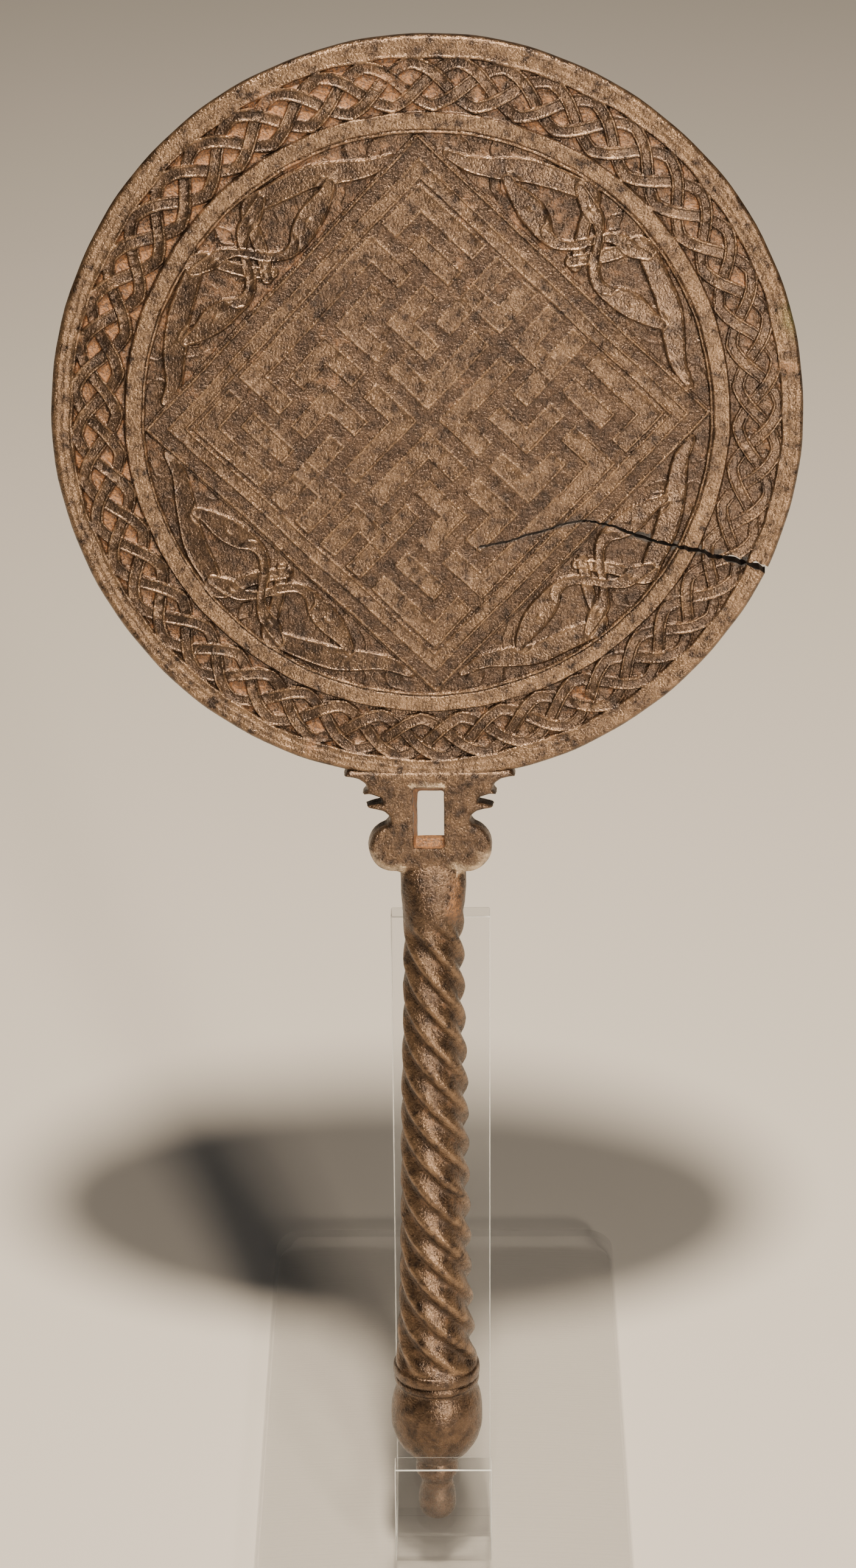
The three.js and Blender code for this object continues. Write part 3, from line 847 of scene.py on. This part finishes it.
def bronzeFinish():
    look = bronzeLook
    finish = Finish("aged bronze")
    painted = ("rust", "wear_and_highlight", "sandy", "edge_wear_and_reflection", "crack_shade")
    rust, wear_and_highlight, sandy, edge_wear_and_reflection, crack_shade = [finish.painted(name) for name in painted]
    sand = finish.grain(look["sandScale"], 2.5, 0.6)
    blotch = finish.grain(look["blotchScale"], 5, 0.62)
    broad = finish.grain(look["broadScale"], 3, 0.5)
    tone = finish.sums("ADD", blotch, finish.spread(broad, 0.3, 0.7, -0.06, 0.06))
    skin = finish.mixColor(finish.spread(tone, 0.3, 0.64), look["dark"], look["brown"])
    speck = finish.spread(blotch, 0.34, 0.62)
    # the skin turns tan where worn and where highlight is painted
    skin = finish.mixColor(finish.sums("MULTIPLY", wear_and_highlight, speck), skin, look["tan"])
    rustTone = finish.mixColor(finish.spread(sand, 0.35, 0.65), look["rustDeep"], look["rust"])
    rusty = finish.sums("ADD", rust, finish.spread(blotch, 0.3, 0.7, -0.25, 0.25))
    rusty = finish.spread(rusty, 0.3, 0.75)
    color = finish.mixColor(finish.sums("MULTIPLY", rusty, 0.85), skin, rustTone)
    color = finish.mixColor(finish.painted("olive"), color, look["olive"])
    # pale worn edges with painted reflection
    color = finish.mixColor(finish.sums("MULTIPLY", edge_wear_and_reflection, speck), color, look["edge_wear_and_reflection"])
    # painted shade in the break and along the hairline
    color = finish.mixColor(crack_shade, color, look["crack_shade"])
    roughness = finish.spread(sand, 0.3, 0.7, 0.2, 0.38)
    roughness = finish.sums("ADD", roughness, finish.sums("MULTIPLY", crack_shade, 0.5))
    roughness = finish.sums("ADD", roughness, finish.sums("MULTIPLY", rusty, 0.4))
    dull = finish.sums("MAXIMUM", finish.sums("MAXIMUM", rusty, edge_wear_and_reflection), crack_shade)
    metal = finish.sums("SUBTRACT", look["metal"], finish.sums("MULTIPLY", dull, 0.45))
    pits = finish.spread(finish.cells(look["pitScale"]), 0.0, 0.4)
    normal = finish.bump(pits, 0.00007, finish.sums("MULTIPLY", sandy, 0.6))
    normal = finish.bump(blotch, 0.0001, finish.spread(sandy, 0, 1, 0.25, 0.85), normal)
    normal = finish.bump(sand, 0.00034, finish.spread(sandy, 0, 1, 0.3, 1), normal)
    return finish.set(Base_Color=color, Roughness=roughness, Metallic=metal, IOR=look["gloss"], Normal=normal)


def paintBronze(mesh, sheets):
    # numbers carried by the points: how rusty, sandy and green they are, how worn with painted highlight and
    # shade, where worn edges are pale with painted reflection, and where shade is painted in the break
    points = pointsOf(mesh)
    x, y, z = points.T
    radius = np.hypot(x, y)
    front = ease(-1.6, -0.9, z) * (1 - ease(64.4, 65.2, radius))
    paint = {}
    for name, elsewhere in (("rust", 0), ("wear_and_highlight", 0.3), ("sandy", 0.5)):
        values = readSheet(sheets[name], x, y, *sheetPlace)
        paint[name] = values * front + elsewhere * (1 - front)
    onHandle = y < -64.9
    plateFront = onHandle & (y > -83)
    shaft = (y < -92) & (y > -182)
    # the walls of the slot are rusty, and so is a patch where the flutes begin
    left, right, top, bottom = bracket["slot"]
    slotWall = plateFront & (np.abs(x - (left + right) / 2) < 3.3) & (y > bottom - 0.3) & (z < 0.3)
    patch = np.exp(-(((x - 4.4) / 1.8) ** 2 + ((y + 88) / 5) ** 2)) * (z > -3)
    lobe = ropeLobe(np.arctan2(x - handle["x"], z - handle["z"]) - (-89 - y) / handle["lead"] * 2 * pi)
    rust = np.where(onHandle, np.maximum(paint["rust"], patch * 0.8), paint["rust"])
    rust = np.where(slotWall & (z > -3.4), 0.8, rust)
    paint["rust"] = np.where(shaft, np.maximum(0.26 - 0.3 * lobe, 0), rust)
    paint["wear_and_highlight"] = np.where(plateFront, 0.42, paint["wear_and_highlight"])
    # the shaft's lobe crests are painted lighter and its grooves darker: partly wear, partly painted
    # highlight and shade
    paint["wear_and_highlight"] = np.where(shaft, 0.1 + 0.8 * lobe, np.where(y < -182, 0.3, paint["wear_and_highlight"]))
    gripSand = np.interp(-y, [83, 96, 150, 200], [0.9, 0.5, 0.3, 0.2])  # finest towards the ball
    paint["sandy"] = np.where(onHandle, gripSand, paint["sandy"])
    lobeX, lobeY, lobeRadius = bracket["lobe"]
    fromLobe = np.hypot(np.abs(x) - lobeX, y - lobeY)
    # the lower edges of the plate's lobes and the top edge of the slot are painted pale: partly worn edges,
    # partly painted reflection of the lit floor
    under = ease(0.55, 0.85, fromLobe / lobeRadius) * ease(-0.5, 0.6, lobeY - y - 0.5) * (z > -1.6)
    slotTop = np.exp(-((y - top - 0.2) / 0.4) ** 2) * (x > left - 0.2) * (x < right + 0.2) * (z > -0.6)
    paint["edge_wear_and_reflection"] = np.where(plateFront, np.maximum(under * (np.abs(x) > 4.6), slotTop), 0)
    # the walls of the break and the groove beyond its end are painted dark as painted shade
    middle = np.interp(x, *np.array(crack["run"]).T)
    gap = np.interp(x, [stop[0] for stop in crack["run"]], crack["opening"])
    paint["crack_shade"] = (x > 26.5) * (np.abs(y - middle) < gap / 2 + 0.45) * ease(0.05, -0.35, z) * (z > -2.2)
    groove = readSheet(sheets["crack_shade"], x, y, *sheetPlace) * (z > -1.5)
    paint["crack_shade"] = np.maximum(paint["crack_shade"], groove)
    paint["olive"] = np.exp(-(((x - 62.4) / 1.6) ** 2 + ((y - 17.6) / 2.2) ** 2)) * 0.8
    for name, values in paint.items():
        layer = mesh.attributes.new(name, "FLOAT", "POINT")
        layer.data.foreach_set("value", np.clip(values, 0, 1).astype(np.float32))


def buildMirror():
    relief, sheets = discRelief()
    print("relief drawn")
    disc = castDisc(relief)
    print("disc cast", trianglesOf(disc.data))
    combine(disc, castBracket(), "UNION")
    combine(disc, castHandle(), "UNION")
    combine(disc, crackCutter(), "DIFFERENCE")
    mesh = disc.data
    disc.name = mesh.name = "bronze_mirror"
    paintBronze(mesh, sheets)
    mesh.transform(standUp @ Matrix.Scale(mm, 4))
    mesh.polygons.foreach_set("use_smooth", np.ones(len(mesh.polygons), bool))
    mesh.set_sharp_from_angle(angle=radians(34))
    withModifier(disc, "WEIGHTED_NORMAL", weight=90, keep_sharp=True)  # flat parts shade flat
    mesh = disc.data
    mesh.name = disc.name
    mesh.materials.clear()
    mesh.materials.append(bronzeFinish())
    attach(disc, "root")
    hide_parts("mirror")
    print("mirror", trianglesOf(mesh), "triangles")
    return disc


strip = {
    "width": 18.4,
    "thick": 4.6,
    "aside": 1.2,
    "top": -94,
    "restRadius": 5.8,
    "height": 18.5,
    "bend": 6.5,
    "play": 0.5,
    "rounding": 0.28,
}
ball = {"radius": 8.8, "y": -194, "end": -216}
plate = {"width": 74, "thick": 5, "ahead": 18, "behind": 92, "corner": 6, "rounding": 0.5}
seatGap = 0.3

acrylicLook = {
    "cradle": {"tint": (0.97, 0.985, 0.98), "clean": 0.0, "hazy": 0.02, "through": 1, "alpha": 0.14},
    "foot": {"tint": (0.965, 0.985, 0.975), "clean": 0.02, "hazy": 0.1, "through": 1, "alpha": 0.22},
    "edge": {"tint": (0.95, 0.98, 0.96), "clean": 0.08, "hazy": 0.25, "through": 0.45, "alpha": 0.85},
}

slack = atan((strip["restRadius"] - ball["radius"]) / (ball["y"] - strip["top"]))
stripLean = radians(pose["lean"]) - slack


def arc(x, y, radius, start, end, steps):
    turns = np.radians(np.linspace(start, end, steps + 1))
    return [(x + radius * cos(t), y + radius * sin(t)) for t in turns]


def roundedBody(name, outline, low, high, rounding):
    # an outline drawn out between two levels, with all its edges eased
    body = outlineBody(name, [[(x, y, level) for x, y in outline] for level in (low, high)])
    withModifier(
        body, "BEVEL", width=rounding, segments=3, limit_method="ANGLE", angle_limit=radians(50))
    return withModifier(body, "TRIANGULATE")


def clearFinish(name, look):
    # see-through sheet: a hint of haze, and fine scratches along it
    finish = Finish(name)
    haze = finish.grain(90, 5, 0.6)
    scratches = finish.add("ShaderNodeMapping")
    finish.feed(scratches.inputs["Vector"], finish.place)
    scratches.inputs["Scale"].default_value = (40, 40, 900)
    fine = finish.grain(12, 6, 0.7, scratches.outputs["Vector"])
    roughness = finish.spread(haze, 0.4, 0.75, look["clean"], look["hazy"])
    normal = finish.bump(fine, 0.00001, 0.2)
    return finish.set(
        Base_Color=(*look["tint"], 1), Roughness=roughness, IOR=1.49,
        Transmission_Weight=look["through"], Alpha=look["alpha"], Normal=normal)


def cutEdges(thing, look, level):
    # the sawn edges of the sheet catch more light than its faces
    thing.data.materials.append(clearFinish(thing.name + " edge", look))
    for face in thing.data.polygons:
        atEnd = 0.3 < face.normal.z < 0.93 and face.center.z > mm * strip["height"]
        if abs(face.normal.x) > level or atEnd:
            face.material_index = 1


def buildStand():
    low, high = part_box("stand_cradle")
    footLow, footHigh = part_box("stand_foot")
    thick, bend = strip["thick"], strip["bend"]
    depth = ball["radius"] * 2 + strip["play"]
    length = (strip["top"] - ball["end"]) * cos(slack)
    outer, inside = depth + thick, bend - thick
    outline = [(-thick, length)] + arc(inside, inside, bend, 180, 270, 12)
    outline += arc(outer - bend, inside, bend, 270, 360, 12)
    outline += [(outer, strip["height"]), (depth, strip["height"])]
    outline += arc(outer - bend, inside, inside, 360, 270, 8) + arc(inside, inside, inside, 270, 180, 8)
    outline += [(0, length)]
    cradle = roundedBody("clear_cradle", outline, -strip["width"] / 2, strip["width"] / 2, strip["rounding"])
    # drawn from the side, then turned to face forwards and leaned back
    sideways = Matrix(((0, 0, -1, 0), (-1, 0, 0, 0), (0, 1, 0, 0), (0, 0, 0, 1)))
    rise = bend - (bend - thick) * (sin(stripLean) + cos(stripLean))
    heel = Vector(((low.x + high.x) / 2, 0, mm * (plate["thick"] + seatGap + rise)))
    lean = Matrix.Rotation(-stripLean, 4, "X")
    cradle.data.transform(lean @ sideways)
    points = pointsOf(cradle.data) * mm
    heel.y = high.y - points[:, 1].max()
    setPoints(cradle.data, points + np.array(heel))
    cradle.data.materials.append(clearFinish("clear acrylic", acrylicLook["cradle"]))
    cutEdges(cradle, acrylicLook["edge"], 0.3)

    side, corner = plate["width"] / 2 - plate["corner"], plate["corner"]
    front, back = -plate["ahead"] + corner, plate["behind"] - corner
    outline = arc(side, back, corner, 0, 90, 8) + arc(-side, back, corner, 90, 180, 8)
    outline += arc(-side, front, corner, 180, 270, 8) + arc(side, front, corner, 270, 360, 8)
    foot = roundedBody("clear_foot", outline, 0, plate["thick"], plate["rounding"])
    under = -thick - seatGap
    seat = []
    tipY = footLow.y / mm + plate["ahead"]
    for x in (inside, outer - bend):
        seat.append((heel.y / mm - tipY - x * cos(stripLean) + under * sin(stripLean),
                     heel.z / mm + x * sin(stripLean) + under * cos(stripLean)))
    seat += [(seat[1][0], 2), (seat[0][0], 2)]
    block = [[(hand * strip["width"] / 2, y, z) for y, z in seat] for hand in (-1, 1)]
    combine(foot, outlineBody("seat", block), "UNION")
    middle = np.array([(footLow.x + footHigh.x) / 2, mm * tipY, 0])
    setPoints(foot.data, pointsOf(foot.data) * mm + middle)
    foot.data.materials.clear()
    foot.data.materials.append(clearFinish("clear foot acrylic", acrylicLook["foot"]))
    for piece, node in ((cradle, "stand_cradle"), (foot, "stand_foot")):
        piece.data.polygons.foreach_set("use_smooth", np.ones(len(piece.data.polygons), bool))
        piece.data.set_sharp_from_angle(angle=radians(35))
        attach(piece, "root")
        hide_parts(node)
    print("stand built")


studio = {
    "ground": (-3, 3, -2.5, 4),  # left, right, front and back of the floor in metres
    "floor": (0.58, 0.555, 0.515),
    "air": (0.5, 0.5, 0.5),
    "airStrength": 0.09,
    "key": {"at": (0.03, -0.16, 0.99), "size": 0.1, "power": 21, "color": (1.0, 0.84, 0.66)},
    "fill": {"at": (0.45, -1.1, 0.75), "size": 0.9, "power": 2.4, "color": (1.0, 0.93, 0.85)},
    "low": {"at": (0.3, -0.66, 0.36), "size": 0.1, "power": 5.5, "color": (1.0, 0.84, 0.66)},
}


def areaLight(name, look, target):
    lamp = bpy.data.lights.new(name, "AREA")
    lamp.shape = "DISK"
    lamp.size = look["size"]
    lamp.energy = look["power"]
    lamp.color = look["color"]
    thing = bpy.data.objects.new(name, lamp)
    bpy.context.scene.collection.objects.link(thing)
    thing.location = look["at"]
    thing.rotation_euler = (target - Vector(look["at"])).to_track_quat("-Z", "Y").to_euler()


def buildStudio():
    left, right, near, far = studio["ground"]
    corners = np.array([(left, near, 0), (right, near, 0), (right, far, 0), (left, far, 0)])
    floor = newObject("floor", newMesh("floor", corners, np.array([(0, 1, 2), (0, 2, 3)])))
    finish = Finish("studio floor")
    tone = finish.mixColor(finish.grain(3, 3), studio["floor"], tuple(c * 0.96 for c in studio["floor"]))
    floor.data.materials.append(finish.set(Base_Color=tone, Roughness=0.85))
    world = bpy.data.worlds.new("studio air")
    world.use_nodes = True
    air = world.node_tree.nodes["Background"]
    air.inputs["Color"].default_value = (*studio["air"], 1)
    air.inputs["Strength"].default_value = studio["airStrength"]
    bpy.context.scene.world = world
    middle = standUp @ Vector((0, -0.04, 0))
    for name in ("key", "fill", "low"):
        areaLight(name, studio[name], middle)


shot = {
    "lens": 69.9,
    "turns": (17.757, -0.942, 1.707),  # tips of the mirror as seen from the camera, in degrees
    "away": (-0.117, 62.62, -524.6),
    "ornamentTurn": -1.52,
}


def placeCamera():
    tip, swing, roll = [radians(turn) for turn in shot["turns"]]
    seen = (Matrix.Translation([mm * number for number in shot["away"]]) @ Matrix.Rotation(roll, 4, "Z")
            @ Matrix.Rotation(swing, 4, "Y") @ Matrix.Rotation(tip, 4, "X")
            @ Matrix.Rotation(radians(shot["ornamentTurn"]), 4, "Z"))
    lens = bpy.data.cameras.new("camera")
    lens.lens = shot["lens"]
    lens.sensor_width = 36
    lens.clip_start = 0.01
    camera = bpy.data.objects.new("camera", lens)
    bpy.context.scene.collection.objects.link(camera)
    camera.matrix_world = standUp @ seen.inverted()
    bpy.context.scene.camera = camera
    print("camera at", [round(c, 4) for c in camera.matrix_world.translation])


placeCamera()
buildStudio()
buildMirror()
buildStand()
